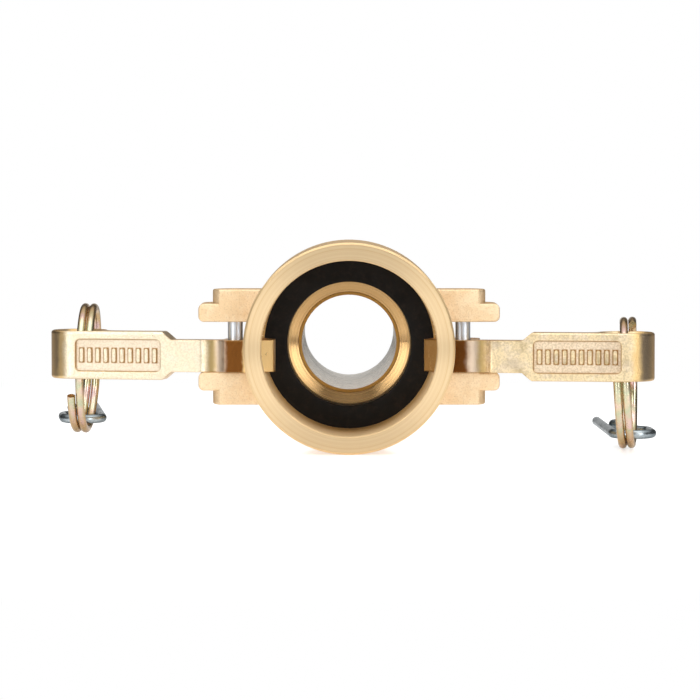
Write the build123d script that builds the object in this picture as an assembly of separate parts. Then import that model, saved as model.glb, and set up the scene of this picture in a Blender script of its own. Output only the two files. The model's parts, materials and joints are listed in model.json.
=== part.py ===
"""Female cam-and-groove coupling with a hose tail, about DN 25, lying on its side with both levers open.

Millimetres. The coupling's axis is Y, with the mouth towards -Y and the hose tail towards +Y. The levers
stand out along X and turn about vertical pins. The origin is the middle of the mouth's face.
"""

from build123d import *

import os
from math import cos, radians, sin, sqrt

# Socket and barrel
socket_radius = 18.65
socket_depth = 22.0
front_land = 7.5
socket_taper = 0.2
barrel_radius = 22.5
barrel_length = 31.5
mouth_chamfer = 0.25
rim_chamfer = 0.4
pin_setback = 11.0

# Gasket and the seat behind it
gasket_radius = 19.85
gasket_bore_radius = 13.5
gasket_thickness = 6.35
gasket_edge_round = 0.35
gasket_clearance = 0.1
seat_radius = 13.3
throat_radius = 11.15
seat_length = 0.8
throat_chamfer = 0.75
flow_radius = 10.4

# Hose tail
taper_length = 7.5
collar_radius = 15.5
collar_length = 2.5
tail_land_radius = 12.7
tail_land_length = 6.0
barb_radius = 13.2
barb_root_radius = 12.1
barb_pitch = 9.5
barb_count = 4
tail_end_chamfer = 0.8

# Ears
ear_front_lead = 3.5
ear_rear = 8.0
ear_back_slope = 3.5
ear_reach = 32.2
ear_slot = 10.8
ear_plate_thickness = 3.9
ear_corner_round = 1.2
ear_edge_round = 0.45
boss_radius = 4.8
boss_rise = 3.05
clip_hole_radius = 1.25
clip_hole_out = 5.3
clip_hole_back = 4.0

# Pivot pins
pin_radius = 1.6
pin_offset = 24.4
pin_clearance = 0.05

# Levers
cam_closed_radius = 9.3
cam_open_radius = 8.37
cam_relief = 5.6
cam_relief_angle = 132.0
cam_clearance = 0.3
cam_nose_half = 3.0
neck_width = 6.85
neck_length = 13.1
shoulder_length = 2.1
handle_width = 10.36
handle_front = 4.5
handle_thickness = 5.0
handle_edge_round = 0.6
neck_edge_round = 0.35
clip_saddle_start = 1.5
clip_saddle_length = 5.0
clip_saddle_depth = 0.9
tip_radius = 6.2
tip_reach = 41.0
tip_fillet = 3.0
heel_fillet = 1.2
eye_clearance = 2.65
eye_countersink = 1.4
panel_start = 15.5
panel_length = 18.8
panel_height = 7.0
panel_depth = 0.6
panel_round = 1.1
rib_count = 10
rib_height = 3.0
rib_width = 0.85
rib_rise = 0.45

# Pull rings
ring_outer_radius = 14.25
ring_wire = 1.75
ring_turn_gap = 0.12
ring_turns = 1.85

# Safety clips
clip_wire = 2.0
clip_side_clearance = 1.5
clip_rest_gap = 0.2
clip_leg_length = 37.0
clip_grip_at = 14.0
clip_wave_pitch = 13.0
clip_wave_rise = 3.4
clip_leg_gap = 0.3

# How each side lies at rest: how far its lever stands open from closed, how its ring hangs and where the
# ring's first cut end is, above the front, and how its clip hangs and points. Angles in degrees, outward positive.
lever_drop_gap = 0.02
side_names = ("left", "right")
lever_open = {"left": 79.5, "right": 98.0}
ring_drop = {"left": 3.75, "right": 6.25}
ring_reach = {"left": 11.3, "right": 10.45}
ring_heading = {"left": -2.0, "right": 5.8}
ring_lean = {"left": -1.8, "right": -2.0}
ring_end_angle = {"left": -24.0, "right": 16.0}
clip_reach = {"left": 4.25, "right": 4.25}
clip_shift = {"left": 1.15, "right": 1.15}
clip_heading = {"left": 6.5, "right": -1.5}

# Places that follow from the sizes
mouth_y = 0.0
pin_y = mouth_y + pin_setback
gasket_y = mouth_y + socket_depth
seat_y = gasket_y + gasket_thickness + gasket_clearance
throat_y = seat_y + seat_length
barrel_end_y = mouth_y + barrel_length
collar_y = barrel_end_y + taper_length
tail_y = collar_y + collar_length
barbs_y = tail_y + tail_land_length
tail_end_y = barbs_y + barb_pitch * barb_count
slot_half = ear_slot / 2
plate_top = slot_half + ear_plate_thickness
boss_top = plate_top + boss_rise
lever_z = -slot_half + lever_drop_gap + neck_width / 2
tip_u = tip_reach - tip_radius
tip_v = tip_radius - handle_front
inner_face_v = handle_thickness - handle_front
ring_radius = ring_outer_radius - ring_wire / 2
ring_pitch = ring_wire + ring_turn_gap
eye_radius = ring_wire + eye_clearance
clip_bend_radius = ring_wire + clip_wire / 2 + clip_side_clearance
clip_drop = ring_outer_radius - ring_wire - clip_wire / 2 - clip_rest_gap
cam_shift = (cam_closed_radius**2 - cam_open_radius**2) / (2 * cam_closed_radius)
cam_radius = cam_closed_radius - cam_shift
window_front_y = pin_y - cam_radius - cam_clearance
window_back_y = pin_y + cam_closed_radius + cam_clearance
land_end_y = mouth_y + front_land


def side_sign(side):
    """+1 for the right side, which stands towards +X, and -1 for the left."""
    return 1 if side == "right" else -1


def turned(points):
    """A solid of revolution about the coupling's axis, from (radius, y) points."""
    return revolve(make_face(Polyline(*points, close=True)), axis=Axis.Y)


def barrel_and_tail():
    """Barrel, taper, collar and barbed hose tail, solid right through."""
    points = [
        (0, mouth_y),
        (barrel_radius - rim_chamfer, mouth_y),
        (barrel_radius, mouth_y + rim_chamfer),
        (barrel_radius, barrel_end_y),
        (collar_radius, collar_y),
        (collar_radius, tail_y),
        (tail_land_radius, tail_y),
        (tail_land_radius, barbs_y),
    ]
    for barb in range(barb_count):
        start = barbs_y + barb * barb_pitch
        points += [(barb_radius, start), (barb_root_radius, start + barb_pitch)]
    points[-1] = (barb_root_radius, tail_end_y - tail_end_chamfer)
    points += [(barb_root_radius - tail_end_chamfer, tail_end_y), (0, tail_end_y)]
    return turned(points)


def bore():
    """Everything that is bored out: socket, slightly tapered past its front land, gasket groove, seat and flow bore."""
    groove_radius = gasket_radius + gasket_clearance
    return turned(
        [
            (0, mouth_y - 1),
            (socket_radius + mouth_chamfer, mouth_y - 1),
            (socket_radius + mouth_chamfer, mouth_y),
            (socket_radius, mouth_y + mouth_chamfer),
            (socket_radius, land_end_y),
            (socket_radius - socket_taper, gasket_y),
            (groove_radius, gasket_y),
            (groove_radius, seat_y),
            (seat_radius, seat_y),
            (throat_radius, throat_y),
            (flow_radius, throat_y + throat_chamfer),
            (flow_radius, tail_end_y + 1),
            (0, tail_end_y + 1),
        ]
    )


def ear():
    """The upper right ear, level with the pin: a plate beside the slot, with a boss around the pin on top."""
    root = socket_radius - 4
    front = -ear_front_lead
    outline = Polyline(
        (root, front),
        (ear_reach, front),
        (ear_reach, ear_rear - ear_back_slope),
        (pin_offset + 2, ear_rear + ear_back_slope),
        (root, ear_rear + ear_back_slope),
        close=True,
    )
    plate = Pos(0, 0, slot_half) * extrude(make_face(outline), ear_plate_thickness)
    plate = fillet(plate.edges().filter_by(Axis.Y).group_by(Axis.X)[-1], ear_corner_round)
    plate = fillet(plate.faces().sort_by(Axis.Y)[0].edges(), ear_edge_round)
    bar_length = pin_offset - root
    bar = Rectangle(bar_length, ear_front_lead + boss_radius, align=(Align.MIN, Align.MIN))
    plan = Pos(root, front) * bar + Pos(pin_offset, 0) * Circle(boss_radius)
    keep = Pos(root, front) * Rectangle(bar_length + 2 * boss_radius, 20, align=(Align.MIN, Align.MIN))
    boss = Pos(0, 0, slot_half) * extrude(plan & keep, boss_top - slot_half)
    boss = fillet(boss.faces().sort_by(Axis.Z)[-1].edges(), ear_edge_round)
    return plate + boss


def coupler_body():
    """The brass casting: barrel, tail and four ears, with cam windows, pin holes and clip holes."""
    one = Pos(0, pin_y, 0) * ear()
    body = barrel_and_tail()
    for corner in (one, mirror(one, Plane.XY), mirror(one, Plane.YZ), mirror(mirror(one, Plane.XY), Plane.YZ)):
        body += corner
    body -= bore()
    window_length = window_back_y - window_front_y
    window_middle = (window_back_y + window_front_y) / 2
    for sign in (-1, 1):
        body -= Pos(sign * pin_offset, window_middle, 0) * Box(2 * boss_radius + 4, window_length, ear_slot)
        body -= Pos(sign * pin_offset, pin_y, 0) * Cylinder(pin_radius + pin_clearance, 2 * boss_top + 1)
        clip_x = sign * (pin_offset + clip_hole_out)
        body -= Pos(clip_x, pin_y + clip_hole_back, 0) * Cylinder(clip_hole_radius, 2 * boss_top)
    return body


def gasket():
    """Flat rubber ring with slightly rounded edges, seated on the back wall of its groove."""
    ring = Cylinder(gasket_radius, gasket_thickness) - Cylinder(gasket_bore_radius, gasket_thickness)
    ring = fillet(ring.edges().filter_by(GeomType.CIRCLE), gasket_edge_round)
    return Pos(0, seat_y - gasket_thickness / 2, 0) * Rot(90, 0, 0) * ring


def pivot_pin(side):
    """Straight pin, flush with the bosses, with both ends chamfered."""
    pin = Cylinder(pin_radius, 2 * boss_top - 0.2)
    pin = chamfer(pin.edges().filter_by(GeomType.CIRCLE), 0.3)
    return Pos(side_sign(side) * pin_offset, pin_y, 0) * pin


def lever_outline():
    """The lever from above: u runs along the handle from the pin, v runs from its front face to its back."""
    front = -handle_front
    angle = radians(cam_relief_angle)
    normal_u, normal_v = cos(angle), -sin(angle)
    relief_corner = ((cam_relief - normal_v * front) / normal_u, front)
    relief_end = (-cam_open_radius, 0)
    spread = radians(45)
    cam_middle = (-cam_radius * sin(spread), cam_shift + cam_radius * cos(spread))
    saddle_end = clip_saddle_start + clip_saddle_length
    saddle_middle = (clip_saddle_start + clip_saddle_length / 2, front + clip_saddle_depth)
    heel = (cam_nose_half, cam_closed_radius - cam_nose_half)
    heel_foot = (cam_nose_half, inner_face_v)
    tip_join = (tip_u - sqrt(tip_radius**2 - (tip_v - inner_face_v) ** 2), inner_face_v)
    curves = [
        Line((tip_u, front), (saddle_end, front)),
        ThreePointArc((saddle_end, front), saddle_middle, (clip_saddle_start, front)),
        Line((clip_saddle_start, front), relief_corner),
        Line(relief_corner, relief_end),
        ThreePointArc(relief_end, cam_middle, (0, cam_closed_radius)),
        TangentArc((0, cam_closed_radius), heel, tangent=(1, 0)),
        Line(heel, heel_foot),
        Line(heel_foot, tip_join),
        ThreePointArc(tip_join, (tip_reach, tip_v), (tip_u, front)),
    ]
    face = make_face(curves)
    for corner, radius in (
        (tip_join, tip_fillet),
        (heel_foot, heel_fillet),
        (relief_corner, neck_edge_round),
        (relief_end, neck_edge_round),
        ((saddle_end, front), 1.0),
        ((clip_saddle_start, front), 1.0),
    ):
        face = fillet(face.vertices().sort_by_distance((*corner, 0))[0], radius)
    return face


def lever_eye():
    """The bore through the lever's tip for the pull ring, countersunk at both ends."""
    half = handle_width / 2
    low, high = half - eye_countersink, half + 1
    wide = eye_radius + high - low
    points = [(0, -high), (wide, -high), (eye_radius, -low), (eye_radius, low), (wide, high), (0, high)]
    cutter = revolve(Plane.XZ * make_face(Polyline(*points, close=True)), axis=Axis.Z)
    return Pos(tip_u, tip_v, 0) * cutter


def lever_casting():
    """One lever about its own pin: the handle along +X, its front face towards -Y."""
    half, neck_half = handle_width / 2, neck_width / 2
    lever = extrude(lever_outline(), half, both=True)
    far = 2 * handle_width
    side_cut = Polyline(
        (-far, neck_half),
        (neck_length, neck_half),
        (neck_length + shoulder_length, half),
        (neck_length + shoulder_length, far),
        (-far, far),
        close=True,
    )
    cut = extrude(Plane.XZ * make_face(side_cut), far, both=True)
    lever -= cut + mirror(cut, Plane.XY)
    flat = lever.faces().filter_by(Axis.Z).sort_by(Axis.Z)
    lever = fillet(flat[0].edges() + flat[-1].edges(), handle_edge_round)
    lever -= lever_eye()
    lever -= Cylinder(pin_radius + pin_clearance, handle_width)
    return lever - panel_recess() + panel_ribs()


def panel_recess():
    """The shallow panel sunk into the handle's front face."""
    at_face = Plane(origin=(panel_start + panel_length / 2, -handle_front, 0), x_dir=(1, 0, 0), z_dir=(0, -1, 0))
    shape = at_face * RectangleRounded(panel_length, panel_height, panel_round)
    return extrude(shape, -panel_depth) + extrude(shape, 1)


def panel_ribs():
    """Raised grip ribs that stand on the panel's floor, lower than the face around it."""
    spacing = panel_length / (rib_count + 0.5)
    floor_v = -handle_front + panel_depth
    ribs = Part()
    for rib in range(rib_count):
        u = panel_start + panel_length / 2 + (rib - (rib_count - 1) / 2) * spacing
        at_floor = Plane(origin=(u, floor_v + 0.2, 0), x_dir=(1, 0, 0), z_dir=(0, -1, 0))
        ribs += extrude(at_floor * SlotOverall(rib_height, rib_width, rotation=90), rib_rise + 0.2)
    return ribs


def lever_turn(side):
    """Degrees about +Z from the casting's own frame to the rest pose on this side."""
    return side_sign(side) * (90 - lever_open[side])


def lever_place(side):
    """Where the casting goes: on its pin, dropped onto the lower ear and turned to its open angle."""
    flip = Rot(0, 0, 0) if side == "right" else Rot(0, 180, 0)
    return Pos(side_sign(side) * pin_offset, pin_y, lever_z) * Rot(0, 0, lever_turn(side)) * flip


def eye_place(side):
    """The middle of the lever's tip bore at rest."""
    sign, angle = side_sign(side), radians(90 - lever_open[side])
    out = tip_u * cos(angle) - tip_v * sin(angle)
    back = tip_u * sin(angle) + tip_v * cos(angle)
    return (sign * (pin_offset + out), pin_y + back, lever_z)


def ring_centre(side):
    """The middle of the pull ring, behind and below the lever's tip bore."""
    x, y, z = eye_place(side)
    heading = radians(ring_heading[side])
    reach = ring_reach[side]
    return (x + side_sign(side) * reach * sin(heading), y + reach * cos(heading), z - ring_drop[side])


def pull_ring(side):
    """Wire ring of nearly two turns with cut ends, its axis across the lever."""
    height = ring_pitch * ring_turns
    path = Helix(ring_pitch, height, ring_radius)
    start = Plane(origin=path @ 0, z_dir=path % 0)
    coil = sweep(start * Circle(ring_wire / 2), path=path, is_frenet=True)
    coil = Pos(0, 0, -height / 2) * coil
    # the helix starts on its own X axis; its axis is laid along X and the start turned to the cut end's place
    upright = Rot(0, 90, 0) * coil
    posed = Rot(0, side_sign(side) * ring_lean[side], 0) * Rot(-90 - ring_end_angle[side], 0, 0) * upright
    return Pos(*ring_centre(side)) * Rot(0, 0, -side_sign(side) * ring_heading[side]) * posed


def clip_pivot(side):
    """The middle of the clip's head, which lies in the bottom of the ring with the ring's back stretch inside it."""
    x, y, z = ring_centre(side)
    heading, reach = radians(ring_heading[side]), clip_reach[side]
    out = reach * sin(heading) + clip_shift[side]
    return (x + side_sign(side) * out, y + reach * cos(heading), z - clip_drop)


def safety_clip(side):
    """Wire R-clip lying flat: a round head, one straight leg and one leg bent in to grip it."""
    bend = clip_bend_radius
    straight_x, grip_x = -bend, -bend + clip_wire + clip_leg_gap
    half_wave = clip_wave_pitch / 2
    points = [
        (bend, 0),
        (bend, clip_grip_at - 1.8 * bend),
        (grip_x, clip_grip_at),
        (grip_x + clip_wave_rise, clip_grip_at + half_wave),
        (grip_x, clip_grip_at + 2 * half_wave),
        (grip_x + clip_wave_rise, clip_grip_at + 3 * half_wave),
    ]
    wave = FilletPolyline(*points, radius=[1.5 * clip_wire, 2.5 * clip_wire, 2 * clip_wire, 2 * clip_wire])
    path = Wire(
        [
            Line((straight_x, clip_leg_length), (straight_x, 0)),
            ThreePointArc((straight_x, 0), (0, -bend), (bend, 0)),
            *wave.edges(),
        ]
    )
    start = Plane(origin=path @ 0, z_dir=path % 0)
    clip = sweep(start * Circle(clip_wire / 2), path=path)
    sign = side_sign(side)
    if sign < 0:
        clip = mirror(clip, Plane.YZ)
    return Pos(*clip_pivot(side)) * Rot(0, 0, -sign * clip_heading[side]) * clip


def build():
    """Every sub-part by name, in its place."""
    casting = lever_casting()
    nodes = {"coupler_body": coupler_body(), "gasket": gasket()}
    for side in side_names:
        nodes[f"{side}_pivot_pin"] = pivot_pin(side)
        nodes[f"{side}_lever"] = lever_place(side) * casting
        nodes[f"{side}_pull_ring"] = pull_ring(side)
        nodes[f"{side}_safety_clip"] = safety_clip(side)
    return nodes


os.makedirs("parts", exist_ok=True)
for name, solid in build().items():
    export_step(solid, f"parts/{name}.step")
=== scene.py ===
import json
import math

import bmesh
import bpy
from mathutils import Matrix, Vector


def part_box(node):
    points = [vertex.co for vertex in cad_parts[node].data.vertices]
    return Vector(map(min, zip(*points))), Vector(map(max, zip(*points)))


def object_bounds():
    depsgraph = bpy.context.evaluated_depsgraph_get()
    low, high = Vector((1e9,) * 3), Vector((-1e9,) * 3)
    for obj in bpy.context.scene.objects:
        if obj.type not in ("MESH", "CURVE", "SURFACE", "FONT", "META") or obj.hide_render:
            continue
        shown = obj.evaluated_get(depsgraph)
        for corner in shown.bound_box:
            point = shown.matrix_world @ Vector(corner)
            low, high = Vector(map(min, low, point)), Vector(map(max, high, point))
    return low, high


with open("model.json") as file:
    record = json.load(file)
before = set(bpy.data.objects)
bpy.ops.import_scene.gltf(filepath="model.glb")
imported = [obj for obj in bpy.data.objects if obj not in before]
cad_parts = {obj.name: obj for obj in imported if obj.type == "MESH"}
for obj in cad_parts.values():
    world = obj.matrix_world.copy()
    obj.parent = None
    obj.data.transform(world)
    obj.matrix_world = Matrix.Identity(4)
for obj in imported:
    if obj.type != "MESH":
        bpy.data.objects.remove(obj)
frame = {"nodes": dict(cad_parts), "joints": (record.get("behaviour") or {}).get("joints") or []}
cadLow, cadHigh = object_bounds()
nodes = frame["nodes"]
scene = bpy.context.scene
mm = 0.001
print("frame loaded:", len(nodes), "nodes")


# node helpers

def newMaterial(name):
    material = bpy.data.materials.new(name)
    material.use_nodes = True
    tree = material.node_tree
    return material, tree, tree.nodes["Principled BSDF"]


def feed(tree, value, socket):
    # a number or colour sets the socket, another socket is linked to it
    if isinstance(value, bpy.types.NodeSocket):
        tree.links.new(value, socket)
    else:
        socket.default_value = value


def maths(tree, operation, a, b=0.0):
    node = tree.nodes.new("ShaderNodeMath")
    node.operation = operation
    feed(tree, a, node.inputs[0])
    feed(tree, b, node.inputs[1])
    return node.outputs[0]


def plus(tree, a, b):
    return maths(tree, "ADD", a, b)


def times(tree, a, b):
    return maths(tree, "MULTIPLY", a, b)


def opposite(tree, mask):
    # 1 where the mask is 0, and 0 where it is 1
    return maths(tree, "SUBTRACT", 1.0, mask)


def ramp(tree, value, low, high, start=0.0, end=1.0):
    # smooth step from start to end as value goes from low to high
    node = tree.nodes.new("ShaderNodeMapRange")
    node.interpolation_type = "SMOOTHSTEP"
    feed(tree, value, node.inputs["Value"])
    for name, number in (("From Min", low), ("From Max", high), ("To Min", start), ("To Max", end)):
        node.inputs[name].default_value = number
    return node.outputs["Result"]


def blendColours(tree, share, a, b):
    node = tree.nodes.new("ShaderNodeMix")
    node.data_type = "RGBA"
    feed(tree, share, node.inputs["Factor"])
    feed(tree, a, node.inputs["A"])
    feed(tree, b, node.inputs["B"])
    return node.outputs["Result"]


def splitPlace(tree, where):
    node = tree.nodes.new("ShaderNodeSeparateXYZ")
    feed(tree, where, node.inputs[0])
    return node.outputs


def noise(tree, where, scale, detail=3.0, roughness=0.55):
    # scale counts the blotches in a metre
    node = tree.nodes.new("ShaderNodeTexNoise")
    feed(tree, where, node.inputs["Vector"])
    node.inputs["Scale"].default_value = scale
    node.inputs["Detail"].default_value = detail
    node.inputs["Roughness"].default_value = roughness
    return node.outputs["Fac"]


def bump(tree, height, strength, distance, normal=None):
    node = tree.nodes.new("ShaderNodeBump")
    node.inputs["Strength"].default_value = strength
    node.inputs["Distance"].default_value = distance
    feed(tree, height, node.inputs["Height"])
    if normal is not None:
        tree.links.new(normal, node.inputs["Normal"])
    return node.outputs["Normal"]


def softEdge(tree, radius):
    node = tree.nodes.new("ShaderNodeBevel")
    node.samples = 6
    node.inputs["Radius"].default_value = radius
    return node.outputs["Normal"]


def edgeMask(tree, softened):
    # how far the softened normal has turned from the face's own, so 1 along sharp edges and corners
    match = tree.nodes.new("ShaderNodeVectorMath")
    match.operation = "DOT_PRODUCT"
    feed(tree, softened, match.inputs[0])
    feed(tree, tree.nodes.new("ShaderNodeNewGeometry").outputs["Normal"], match.inputs[1])
    return ramp(tree, match.outputs["Value"], 0.80, 0.995, 1.0, 0.0)


def turnedAway(tree, low, high, share):
    # painted shade: 0 where the surface faces the viewer, share where it curves out of sight
    weight = tree.nodes.new("ShaderNodeLayerWeight")
    weight.inputs["Blend"].default_value = 0.5
    return ramp(tree, weight.outputs["Facing"], low, high, 0.0, share)


def newGroup(name, inputs, outputs):
    group = bpy.data.node_groups.new(name, "ShaderNodeTree")
    for label, kind, value in inputs:
        socket = group.interface.new_socket(label, in_out="INPUT", socket_type=kind)
        if value is not None:
            socket.default_value = value
    for label in outputs:
        group.interface.new_socket(label, in_out="OUTPUT", socket_type="NodeSocketFloat")
    return group, group.nodes.new("NodeGroupInput"), group.nodes.new("NodeGroupOutput")


def useGroup(tree, group, values):
    node = tree.nodes.new("ShaderNodeGroup")
    node.node_tree = group
    for label, value in values.items():
        feed(tree, value, node.inputs[label])
    return node


def objectPlace(tree):
    return tree.nodes.new("ShaderNodeTexCoord").outputs["Object"]


# sand-cast skin: fine grain, soft waves and small pits

castSkin = {
    "fine": 3800,
    "middle": 1100,
    "wide": 160,
    "pits": 1900,
    "pitHeight": 0.35,
    "wideShare": 0.6,
}


def buildCastGrain(skin):
    group, start, end = newGroup(
        "castGrain",
        (("Place", "NodeSocketVector", None), ("Grain Size", "NodeSocketFloat", 1.0)),
        ("Height", "Tone"),
    )
    scaled = group.nodes.new("ShaderNodeVectorMath")
    scaled.operation = "SCALE"
    group.links.new(start.outputs["Place"], scaled.inputs[0])
    group.links.new(start.outputs["Grain Size"], scaled.inputs["Scale"])
    where = scaled.outputs["Vector"]
    fine = noise(group, where, skin["fine"], 4.0, 0.65)
    middle = noise(group, where, skin["middle"])
    wide = noise(group, where, skin["wide"], 2.0)
    pits = ramp(group, noise(group, where, skin["pits"], 1.0), 0.30, 0.40)
    height = plus(group, times(group, fine, 0.5), times(group, middle, 0.5))
    height = plus(group, height, times(group, pits, skin["pitHeight"]))
    group.links.new(height, end.inputs["Height"])
    waves = times(group, wide, skin["wideShare"])
    tone = plus(group, waves, times(group, middle, 1.0 - skin["wideShare"]))
    group.links.new(tone, end.inputs["Tone"])
    return group


# marks that a lathe leaves: fine rings round the Y axis, on faces and on round walls alike

toolMarks = {
    "fine": 9000,
    "coarse": 2200,
    "fineShare": 0.55,
}


def buildLatheMarks(marks):
    group, start, end = newGroup(
        "latheMarks",
        (("Place", "NodeSocketVector", None),),
        ("Height", "Tone", "Radius", "Along"),
    )
    x, y, z = splitPlace(group, start.outputs["Place"])
    radius = maths(group, "SQRT", plus(group, times(group, x, x), times(group, z, z)))
    profile = group.nodes.new("ShaderNodeCombineXYZ")
    group.links.new(radius, profile.inputs["X"])
    group.links.new(y, profile.inputs["Y"])
    where = profile.outputs[0]
    fine = noise(group, where, marks["fine"], 2.0)
    coarse = noise(group, where, marks["coarse"], 2.0)
    fineHeight = times(group, fine, marks["fineShare"])
    height = plus(group, fineHeight, times(group, coarse, 1.0 - marks["fineShare"]))
    for label, value in (("Height", height), ("Tone", coarse), ("Radius", radius), ("Along", y)):
        group.links.new(value, end.inputs[label])
    return group


castGrain = buildCastGrain(castSkin)
latheMarks = buildLatheMarks(toolMarks)

# cast brass body, with turned faces at the mouth, in the bore and on the hose tail

castLook = {
    "light": (1.0, 0.80, 0.54, 1.0),
    "dark": (0.94, 0.69, 0.41, 1.0),
    # brown for the casting's specks, and for the painted shade along edges and turned-away sides
    "brownAndShade": (0.58, 0.37, 0.16, 1.0),
    "speckleScale": 2800,
    "speckleShare": 0.30,
    "edge": 0.5 * mm,
    "edgeShade": 0.7,
    "sideShade": 0.75,
    "metallic": 0.7,
    "rough": 0.54,
    "grain": 0.10 * mm,
}
turnedLook = {
    "light": (0.97, 0.74, 0.45, 1.0),
    "dark": (0.88, 0.62, 0.32, 1.0),
    # painted shade: the bore darkens from the mouth inwards
    "wall": (0.62, 0.38, 0.15, 1.0),
    "wallEnd": 19.0 * mm,
    "seat": (0.56, 0.36, 0.16, 1.0),
    "seatStart": 24.0 * mm,
    "seatDepth": 25.0 * mm,
    "rim": (1.0, 0.58, 0.16, 1.0),
    "rimInner": 10.95 * mm,
    "rimOuter": 11.15 * mm,
    "rimEnd": 30.0 * mm,
    "rimTarnish": 0.6,
    "pipe": (0.95, 0.89, 0.80, 1.0),
    "pipeRadius": 10.6 * mm,
    "rough": 0.42,
    "seatRough": 0.24,
    "grooves": 0.03 * mm,
    "mouthRadius": 22.6 * mm,
    "mouthDepth": 0.5 * mm,
    "boreRadius": 20.3 * mm,
    "tailStart": 42.0 * mm,
}


def buildCastBrass(look):
    material, tree, shader = newMaterial("castBrass")
    where = objectPlace(tree)
    grain = useGroup(tree, castGrain, {"Place": where, "Grain Size": 1.0})
    tone = grain.outputs["Tone"]
    softened = softEdge(tree, look["edge"])
    colour = blendColours(tree, ramp(tree, tone, 0.38, 0.62), look["dark"], look["light"])
    speckle = ramp(tree, noise(tree, where, look["speckleScale"], 2.0), 0.50, 0.68)
    colour = blendColours(tree, times(tree, speckle, look["speckleShare"]), colour, look["brownAndShade"])
    # painted shade: the colour turns brown along sharp edges, in creases and where the surface curves out
    # of sight
    edges = times(tree, edgeMask(tree, softened), look["edgeShade"])
    brownAndShade = maths(tree, "MAXIMUM", edges, turnedAway(tree, 0.40, 0.85, look["sideShade"]))
    feed(tree, blendColours(tree, brownAndShade, colour, look["brownAndShade"]), shader.inputs["Base Color"])
    shader.inputs["Metallic"].default_value = look["metallic"]
    rough = ramp(tree, tone, 0.35, 0.65, look["rough"] - 0.06, look["rough"] + 0.08)
    feed(tree, rough, shader.inputs["Roughness"])
    feed(tree, bump(tree, grain.outputs["Height"], 0.8, look["grain"], softened), shader.inputs["Normal"])
    return material


def buildTurnedBrass(look):
    # coloured by the radius and by the depth from the mouth; painted shade darkens the bore inwards from
    # the mouth
    material, tree, shader = newMaterial("turnedBrass")
    marks = useGroup(tree, latheMarks, {"Place": objectPlace(tree)})
    tone, radius, depth = (marks.outputs[label] for label in ("Tone", "Radius", "Along"))
    colour = blendColours(tree, ramp(tree, tone, 0.30, 0.62), look["dark"], look["light"])
    # painted shade deepening into the bore
    wall = ramp(tree, depth, look["mouthDepth"], look["wallEnd"])
    colour = blendColours(tree, wall, colour, look["wall"])
    tail = ramp(tree, depth, look["rimEnd"], look["tailStart"])
    colour = blendColours(tree, tail, colour, look["light"])
    seat = ramp(tree, depth, look["seatStart"], look["seatDepth"])
    colour = blendColours(tree, times(tree, seat, opposite(tree, tail)), colour, look["seat"])
    beyond = maths(tree, "GREATER_THAN", depth, look["rimEnd"])
    rim = ramp(tree, radius, look["rimInner"], look["rimOuter"], 1.0, 0.0)
    rim = times(tree, rim, opposite(tree, beyond))
    colour = blendColours(tree, rim, colour, look["rim"])
    pipe = times(tree, beyond, maths(tree, "LESS_THAN", radius, look["pipeRadius"]))
    feed(tree, blendColours(tree, pipe, colour, look["pipe"]), shader.inputs["Base Color"])
    feed(tree, opposite(tree, times(tree, rim, look["rimTarnish"])), shader.inputs["Metallic"])
    shader.inputs["Anisotropic"].default_value = 0.9
    shader.inputs["Anisotropic Rotation"].default_value = 0.25  # a quarter turn, along the rings
    rough = ramp(tree, depth, look["seatStart"], look["seatDepth"], look["rough"], look["seatRough"])
    rough = plus(tree, rough, ramp(tree, tone, 0.3, 0.7, -0.05, 0.06))
    feed(tree, rough, shader.inputs["Roughness"])
    feed(tree, bump(tree, marks.outputs["Height"], 0.5, look["grooves"]), shader.inputs["Normal"])
    around = tree.nodes.new("ShaderNodeTangent")
    around.direction_type = "RADIAL"
    around.axis = "Y"
    feed(tree, around.outputs["Tangent"], shader.inputs["Tangent"])
    return material


def turnedFace(face, look):
    centre, normal = face.center, face.normal
    radius = math.hypot(centre.x, centre.z)
    if centre.y < look["mouthDepth"]:
        return radius < look["mouthRadius"]
    if centre.y > look["tailStart"]:
        return True
    facesAxis = centre.x * normal.x + centre.z * normal.z < -0.3 * radius
    facesMouth = normal.y < -0.5
    return radius < look["boreRadius"] and (facesAxis or facesMouth)


# lever brass: tumbled casting, with a sunk panel whose floor is rough and whose corners hold grime with
# painted shade; tints near the pin and at the curled tip are painted reflection and shade

leverLook = {
    "stained": (0.52, 0.40, 0.22, 1.0),
    "lilac": (0.94, 0.80, 0.65, 1.0),
    # grime with painted shade in the panel's corners, and brown painted shade along edges and turned-away
    # sides
    "dirtAndShade": (0.42, 0.22, 0.06, 1.0),
    "brownAndShade": (0.66, 0.42, 0.17, 1.0),
    "edge": 0.4 * mm,
    "edgeShade": 0.6,
    "sideShade": 0.85,
    "grainSize": 1.2,
    "patchScale": 210,
    "patchShare": 0.55,
    "speckleScale": 2600,
    "speckleShare": 0.25,
    "lilacScale": 380,
    "lilacShare": 0.45,
    "floorLilac": 0.7,
    "floorRough": 0.18,
    "panelMiddle": 24.9 * mm,
    "panelHalfLength": 9.4 * mm,
    "panelHalfHeight": 3.5 * mm,
    "panelEdge": 0.02 * mm,
    "sunkStart": -4.15 * mm,
    "sunkFull": -4.0 * mm,
    "sunkEnd": -3.5 * mm,
    "ribCount": 10,
    "ribSpacing": 18.8 / 10.5 * mm,
    "ribHalfWidth": 0.425 * mm,
    "ribHalfHeight": 1.5 * mm,
    "ribFoot": 0.05 * mm,
    "dirtAndShadeWidth": 0.32 * mm,
    "dirtAndShadeShare": 0.95,
}
leverTones = {
    "left": {"bright": (0.92, 0.81, 0.60, 1.0), "stain": 0.0, "rough": 0.32, "grain": 0.05 * mm},
    "right": {"bright": (0.96, 0.78, 0.49, 1.0), "stain": 0.15, "rough": 0.36, "grain": 0.12 * mm},
}
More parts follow.
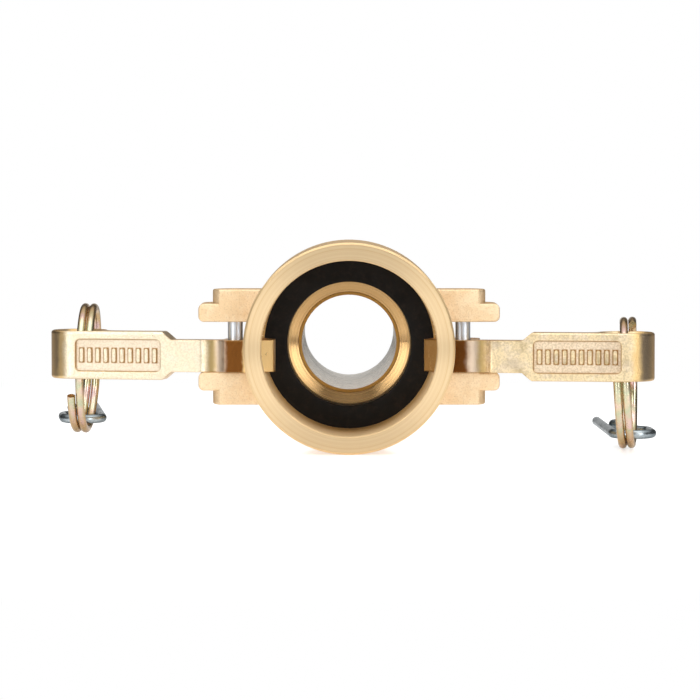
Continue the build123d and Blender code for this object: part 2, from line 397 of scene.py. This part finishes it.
# painted reflection and shade: olive and plum reflections and a brown shadow near the pin, the cam's own
# colour behind it, and painted shade on the curled tip
leverPaintedTints = {  # each tint's colour, its distance from the pin's axis and half the width of its fade
    "pinTints": (
        ((0.48, 0.34, 0.14, 1.0), 5.4 * mm, 0.9 * mm),  # olive
        ((0.62, 0.49, 0.37, 1.0), 3.6 * mm, 0.8 * mm),  # plum
        ((0.17, 0.055, 0.004, 1.0), 1.5 * mm, 0.9 * mm),  # brown
        ((0.92, 0.62, 0.27, 1.0), -2.6 * mm, 0.4 * mm),  # clean cam
    ),
    "pinShare": 0.97,
    "tipTints": (
        ((0.74, 0.50, 0.21, 1.0), 36.8 * mm, 0.9 * mm),  # gold
        ((0.22, 0.17, 0.12, 1.0), 38.4 * mm, 0.7 * mm),  # brown
    ),
    "tipShare": 0.9,
    "wanderScale": 500,
    "wander": 1.2 * mm,
}


def leverPlace(tree, side):
    # Object coordinates turned into the lever's own: along the handle, through it and across it
    hinge = next(joint for joint in frame["joints"] if joint["name"] == side + "_lever_hinge")
    pin = Vector(hinge["pos_m"])
    sign = 1 if side == "right" else -1
    turn = math.radians(hinge["range_deg"][1] - 90)
    flip = Matrix.Diagonal((sign, 1, sign))
    spin = Matrix.Rotation(turn, 3, "Z")
    node = tree.nodes.new("ShaderNodeMapping")
    feed(tree, objectPlace(tree), node.inputs["Vector"])
    node.inputs["Scale"].default_value = (sign, 1, sign)
    node.inputs["Rotation"].default_value = (0, 0, turn)
    node.inputs["Location"].default_value = -(spin @ flip @ pin)
    return node.outputs["Vector"]


def outside(tree, value, middle, half, width):
    # 0 within half of the middle, rising to 1 one width further out
    return ramp(tree, maths(tree, "ABSOLUTE", maths(tree, "SUBTRACT", value, middle)), half, half + width)


def within(tree, value, middle, half, width):
    return opposite(tree, outside(tree, value, middle, half, width))


def panelMasks(tree, where, look, height):
    # the sunk panel's floor, and the grime with painted shade on it along its sides and round its ribs
    along, through, across = splitPlace(tree, where)
    across = maths(tree, "SUBTRACT", across, height)
    middle, edge, dirtAndShadeWidth = look["panelMiddle"], look["panelEdge"], look["dirtAndShadeWidth"]
    halfLength, halfHeight = look["panelHalfLength"], look["panelHalfHeight"]
    sunk = ramp(tree, through, look["sunkStart"], look["sunkFull"])
    sunk = times(tree, sunk, maths(tree, "LESS_THAN", through, look["sunkEnd"]))
    panel = times(
        tree,
        within(tree, along, middle, halfLength, edge),
        within(tree, across, 0.0, halfHeight, edge),
    )
    floorMask = times(tree, sunk, panel)
    wallDirt = maths(
        tree,
        "MAXIMUM",
        outside(tree, along, middle, halfLength - dirtAndShadeWidth, dirtAndShadeWidth),
        outside(tree, across, 0.0, halfHeight - dirtAndShadeWidth, dirtAndShadeWidth),
    )
    step = maths(tree, "DIVIDE", maths(tree, "SUBTRACT", along, middle), look["ribSpacing"])
    step = maths(tree, "SUBTRACT", maths(tree, "FRACT", step), 0.5)
    step = times(tree, step, look["ribSpacing"])  # distance from the nearest rib's middle
    ribDirtAndShade = within(tree, step, 0.0, look["ribHalfWidth"] + look["ribFoot"], dirtAndShadeWidth)
    ribDirtAndShade = times(tree, ribDirtAndShade, within(tree, across, 0.0, look["ribHalfHeight"], dirtAndShadeWidth))
    ribRow = look["ribCount"] / 2 * look["ribSpacing"]
    ribDirtAndShade = times(tree, ribDirtAndShade, within(tree, along, middle, ribRow, edge))
    return floorMask, times(tree, floorMask, maths(tree, "MAXIMUM", wallDirt, ribDirtAndShade))


def buildLeverBrass(side, look, tones, paintedTints):
    material, tree, shader = newMaterial(side + "LeverBrass")
    local = leverPlace(tree, side)
    skin = useGroup(tree, castGrain, {"Place": local, "Grain Size": look["grainSize"]})
    tone = skin.outputs["Tone"]
    low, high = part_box(side + "_lever")
    height = (low.z + high.z) / 2 * (1 if side == "right" else -1)
    floorMask, dirtAndShade = panelMasks(tree, local, look, height)
    patches = times(tree, noise(tree, local, look["patchScale"]), look["patchShare"])
    patches = plus(tree, patches, times(tree, tone, 1.0 - look["patchShare"]))
    stains = ramp(tree, patches, 0.64 - tones["stain"], 0.82 - tones["stain"])
    colour = blendColours(tree, stains, tones["bright"], look["stained"])
    lilac = ramp(tree, noise(tree, local, look["lilacScale"], 2.0), 0.46, 0.66)
    lilac = times(tree, lilac, look["lilacShare"])
    lilac = maths(tree, "MAXIMUM", lilac, times(tree, floorMask, look["floorLilac"]))
    colour = blendColours(tree, lilac, colour, look["lilac"])
    speckle = ramp(tree, noise(tree, local, look["speckleScale"], 2.0), 0.42, 0.62)
    speckle = times(tree, speckle, look["speckleShare"] + tones["stain"])
    colour = blendColours(tree, speckle, colour, look["stained"])
    # painted reflection and shade near the pin, and painted shade on the curled tip
    wander = maths(tree, "SUBTRACT", noise(tree, local, paintedTints["wanderScale"], 2.0), 0.5)
    along = plus(tree, splitPlace(tree, local)[0], times(tree, wander, paintedTints["wander"]))
    for tint, reach, fade in paintedTints["pinTints"]:
        share = ramp(tree, along, reach - fade, reach + fade, paintedTints["pinShare"], 0.0)
        colour = blendColours(tree, share, colour, tint)
    for tint, reach, fade in paintedTints["tipTints"]:
        share = ramp(tree, along, reach - fade, reach + fade, 0.0, paintedTints["tipShare"])
        colour = blendColours(tree, share, colour, tint)
    softened = softEdge(tree, look["edge"])
    # painted shade: brown along sharp edges, in creases and where the surface curves out of sight
    edges = times(tree, edgeMask(tree, softened), look["edgeShade"])
    brownAndShade = maths(tree, "MAXIMUM", edges, turnedAway(tree, 0.30, 0.75, look["sideShade"]))
    colour = blendColours(tree, brownAndShade, colour, look["brownAndShade"])
    # grime with painted shade in the panel's corners and round its ribs
    colour = blendColours(tree, times(tree, dirtAndShade, look["dirtAndShadeShare"]), colour, look["dirtAndShade"])
    feed(tree, colour, shader.inputs["Base Color"])
    shader.inputs["Metallic"].default_value = 1.0
    rough = ramp(tree, tone, 0.3, 0.7, tones["rough"] - 0.06, tones["rough"] + 0.10)
    rough = plus(tree, rough, times(tree, floorMask, look["floorRough"]))
    feed(tree, rough, shader.inputs["Roughness"])
    relief = times(tree, skin.outputs["Height"], plus(tree, 1.0, floorMask))
    feed(tree, bump(tree, relief, 0.8, tones["grain"], softened), shader.inputs["Normal"])
    return material


# black nitrile with a little dust

rubberLook = {
    "black": (0.004, 0.003, 0.002, 1.0),
    "dust": (0.013, 0.008, 0.005, 1.0),
    "dustScale": 700,
    "rough": (0.42, 0.58),
    "roughScale": 300,
    "specular": 0.22,
    "skinScale": 2600,
    "skin": 0.05 * mm,
}


def buildRubber(look):
    material, tree, shader = newMaterial("blackNitrile")
    where = objectPlace(tree)
    dust = ramp(tree, noise(tree, where, look["dustScale"], 4.0, 0.7), 0.45, 0.75)
    feed(tree, blendColours(tree, dust, look["black"], look["dust"]), shader.inputs["Base Color"])
    rough = ramp(tree, noise(tree, where, look["roughScale"]), 0.3, 0.7, *look["rough"])
    feed(tree, rough, shader.inputs["Roughness"])
    shader.inputs["Specular IOR Level"].default_value = look["specular"]
    skin = bump(tree, noise(tree, where, look["skinScale"]), 0.25, look["skin"])
    feed(tree, skin, shader.inputs["Normal"])
    return material


# drawn wire and pins: patchy plating seen face on, and the rim colour where the wire curves away, a
# painted shade that on the yellow zinc is also a painted gold sheen

wireLooks = {
    "pinSteel": {
        "plating": ((0.68, 0.72, 0.77, 1.0), (0.80, 0.83, 0.87, 1.0)),
        "rim": (0.46, 0.50, 0.56, 1.0),
        "rough": 0.36,
        "patchScale": 260,
    },
    "yellowZinc": {
        "plating": (
            (0.80, 0.58, 0.56, 1.0),
            (0.78, 0.64, 0.44, 1.0),
            (0.60, 0.62, 0.42, 1.0),
            (0.78, 0.60, 0.46, 1.0),
            (0.82, 0.60, 0.60, 1.0),
        ),
        "rim": (0.48, 0.27, 0.07, 1.0),
        "rough": 0.22,
        "patchScale": 150,
    },
    "brightZinc": {
        "plating": ((0.32, 0.37, 0.39, 1.0), (0.50, 0.55, 0.57, 1.0)),
        "rim": (0.12, 0.15, 0.16, 1.0),
        "rough": 0.28,
        "patchScale": 300,
    },
}
platingSpread = {
    "first": 0.34,
    "last": 0.66,
    "rimShare": 0.85,
    "roughScale": 900,
    "drawnScale": 2000,
    "drawnMarks": 0.004 * mm,
}


def buildPlatedWire(name, look, spread):
    material, tree, shader = newMaterial(name)
    where = objectPlace(tree)
    plating = look["plating"]
    patches = tree.nodes.new("ShaderNodeValToRGB")
    feed(tree, noise(tree, where, look["patchScale"], 2.0), patches.inputs["Fac"])
    stops = patches.color_ramp.elements
    stops[0].position, stops[0].color = spread["first"], plating[0]
    stops[1].position, stops[1].color = spread["last"], plating[-1]
    gap = (spread["last"] - spread["first"]) / (len(plating) - 1)
    for number, colour in enumerate(plating[1:-1], 1):
        stops.new(spread["first"] + gap * number).color = colour
    # painted shade towards the silhouette, and on the yellow zinc a painted gold sheen
    rim = turnedAway(tree, 0.22, 0.66, spread["rimShare"])
    feed(tree, blendColours(tree, rim, patches.outputs["Color"], look["rim"]), shader.inputs["Base Color"])
    shader.inputs["Metallic"].default_value = 1.0
    low, high = look["rough"] - 0.05, look["rough"] + 0.08
    rough = ramp(tree, noise(tree, where, spread["roughScale"]), 0.3, 0.7, low, high)
    feed(tree, rough, shader.inputs["Roughness"])
    marks = bump(tree, noise(tree, where, spread["drawnScale"], 2.0), 0.2, spread["drawnMarks"])
    feed(tree, marks, shader.inputs["Normal"])
    return material


looks = {
    "coupler_body": buildCastBrass(castLook),
    "gasket": buildRubber(rubberLook),
}
for side, tones in leverTones.items():
    looks[side + "_lever"] = buildLeverBrass(side, leverLook, tones, leverPaintedTints)
wires = {name: buildPlatedWire(name, look, platingSpread) for name, look in wireLooks.items()}
for side in leverTones:
    looks[side + "_pivot_pin"] = wires["pinSteel"]
    looks[side + "_pull_ring"] = wires["yellowZinc"]
    looks[side + "_safety_clip"] = wires["brightZinc"]
for name, look in looks.items():
    nodes[name].data.materials.clear()
    nodes[name].data.materials.append(look)
body = nodes["coupler_body"].data
body.materials.append(buildTurnedBrass(turnedLook))
for face in body.polygons:
    face.material_index = 1 if turnedFace(face, turnedLook) else 0
print("materials built:", len(bpy.data.materials))

# camera: far back and a little above the coupling's axis

view = {"distance": 0.750, "pitch": 2.95, "lens": 182.4, "shift": (0.0013, -0.0014)}


def buildCamera(values):
    data = bpy.data.cameras.new("camera")
    data.lens = values["lens"]
    data.sensor_width = 36
    data.shift_x, data.shift_y = values["shift"]
    data.clip_start, data.clip_end = 0.05, 50
    camera = bpy.data.objects.new("camera", data)
    scene.collection.objects.link(camera)
    tilt = math.radians(values["pitch"])
    camera.location = (0, -values["distance"] * math.cos(tilt), values["distance"] * math.sin(tilt))
    camera.rotation_euler = (-camera.location).to_track_quat("-Z", "Y").to_euler()
    scene.camera = camera


buildCamera(view)

# white studio: glossy white floor, a light tent painted into the world, and soft boxes

studio = {
    "floorHeight": cadLow.z,
    "floorSize": 8.0,
    "floorColour": (0.93, 0.94, 0.96, 1.0),
    "floorRough": 0.14,
    "floorSpecular": 0.10,
    "nearGlow": (0.2, 0.5),  # as it lights the object, then as the camera sees it
    "farGlow": (0.45, 1.0),
    "fadeStart": 0.10,
    "fadeEnd": 0.26,
    "softBoxes": (  # name, place, size and power
        ("leftBox", (-0.85, -1.0, 0.48), (0.55, 1.2), 7.0),
        ("rightBox", (0.85, -1.0, 0.48), (0.55, 1.2), 7.0),
        ("topBox", (0.0, -0.1, 1.1), (1.2, 0.8), 3.5),
    ),
}
tent = {  # how bright each part of the tent is, then where each panel fades
    "all": 0.11,
    "front": 0.55,
    "back": 0.85,
    "above": 0.8,
    "frontSides": (0.66, 0.86),
    "frontTop": (0.16, 0.40),
    "frontEnds": (0.0, 0.25),
    "backEdge": (0.95, 0.99),
    "aboveEdge": (0.48, 0.76),
}
white = (1.0, 1.0, 1.0, 1.0)


def buildFloor(values):
    mesh = bpy.data.meshes.new("floor")
    work = bmesh.new()
    bmesh.ops.create_grid(work, x_segments=1, y_segments=1, size=values["floorSize"] / 2)
    bmesh.ops.translate(work, verts=work.verts, vec=(0, 0, values["floorHeight"]))
    work.to_mesh(mesh)
    work.free()
    floor = bpy.data.objects.new("floor", mesh)
    scene.collection.objects.link(floor)
    material, tree, shader = newMaterial("whiteAcrylic")
    shader.inputs["Base Color"].default_value = values["floorColour"]
    shader.inputs["Roughness"].default_value = values["floorRough"]
    shader.inputs["Specular IOR Level"].default_value = values["floorSpecular"]
    shader.inputs["Emission Color"].default_value = white
    seen = tree.nodes.new("ShaderNodeLightPath").outputs["Is Camera Ray"]
    feed(tree, ramp(tree, seen, 0.0, 1.0, *values["nearGlow"]), shader.inputs["Emission Strength"])
    distance = tree.nodes.new("ShaderNodeVectorMath")
    distance.operation = "LENGTH"
    feed(tree, objectPlace(tree), distance.inputs[0])
    glow = tree.nodes.new("ShaderNodeEmission")
    feed(tree, ramp(tree, seen, 0.0, 1.0, *values["farGlow"]), glow.inputs["Strength"])
    fade = tree.nodes.new("ShaderNodeMixShader")
    share = ramp(tree, distance.outputs["Value"], values["fadeStart"], values["fadeEnd"])
    feed(tree, share, fade.inputs["Fac"])
    tree.links.new(shader.outputs[0], fade.inputs[1])
    tree.links.new(glow.outputs[0], fade.inputs[2])
    tree.links.new(fade.outputs[0], tree.nodes["Material Output"].inputs["Surface"])
    mesh.materials.append(material)


def buildWorld(values):
    # the tent lights the object, and the camera itself sees plain white
    world = bpy.data.worlds.new("lightTent")
    scene.world = world
    world.use_nodes = True
    tree = world.node_tree
    tree.nodes.clear()
    x, y, z = splitPlace(tree, tree.nodes.new("ShaderNodeTexCoord").outputs["Generated"])
    flat = maths(tree, "SQRT", plus(tree, times(tree, x, x), times(tree, y, y)))
    sideways = maths(tree, "ABSOLUTE", maths(tree, "DIVIDE", x, maths(tree, "MAXIMUM", flat, 0.001)))
    front = times(
        tree,
        ramp(tree, sideways, *values["frontSides"], 1.0, 0.0),
        ramp(tree, z, *values["frontTop"], 1.0, 0.0),
    )
    front = times(tree, front, ramp(tree, times(tree, y, -1.0), *values["frontEnds"]))
    strength = plus(tree, values["all"], times(tree, front, values["front"]))
    for panel, height in (("back", y), ("above", z)):
        edge = ramp(tree, height, *values[panel + "Edge"])
        strength = plus(tree, strength, times(tree, edge, values[panel]))
    lit = tree.nodes.new("ShaderNodeBackground")
    lit.inputs["Color"].default_value = white
    tree.links.new(strength, lit.inputs["Strength"])
    seen = tree.nodes.new("ShaderNodeBackground")
    seen.inputs["Color"].default_value = white
    mix = tree.nodes.new("ShaderNodeMixShader")
    tree.links.new(tree.nodes.new("ShaderNodeLightPath").outputs["Is Camera Ray"], mix.inputs["Fac"])
    tree.links.new(lit.outputs[0], mix.inputs[1])
    tree.links.new(seen.outputs[0], mix.inputs[2])
    tree.links.new(mix.outputs[0], tree.nodes.new("ShaderNodeOutputWorld").inputs["Surface"])


def softBox(name, place, size, power):
    data = bpy.data.lights.new(name, "AREA")
    data.shape = "RECTANGLE"
    data.size, data.size_y = size
    data.energy = power
    light = bpy.data.objects.new(name, data)
    scene.collection.objects.link(light)
    light.location = place
    light.rotation_euler = (-Vector(place)).to_track_quat("-Z", "Y").to_euler()
    light.visible_camera = False


buildFloor(studio)
buildWorld(tent)
for box in studio["softBoxes"]:
    softBox(*box)
scene.view_settings.view_transform = "Standard"
print("studio built:", len(bpy.data.lights), "soft boxes")
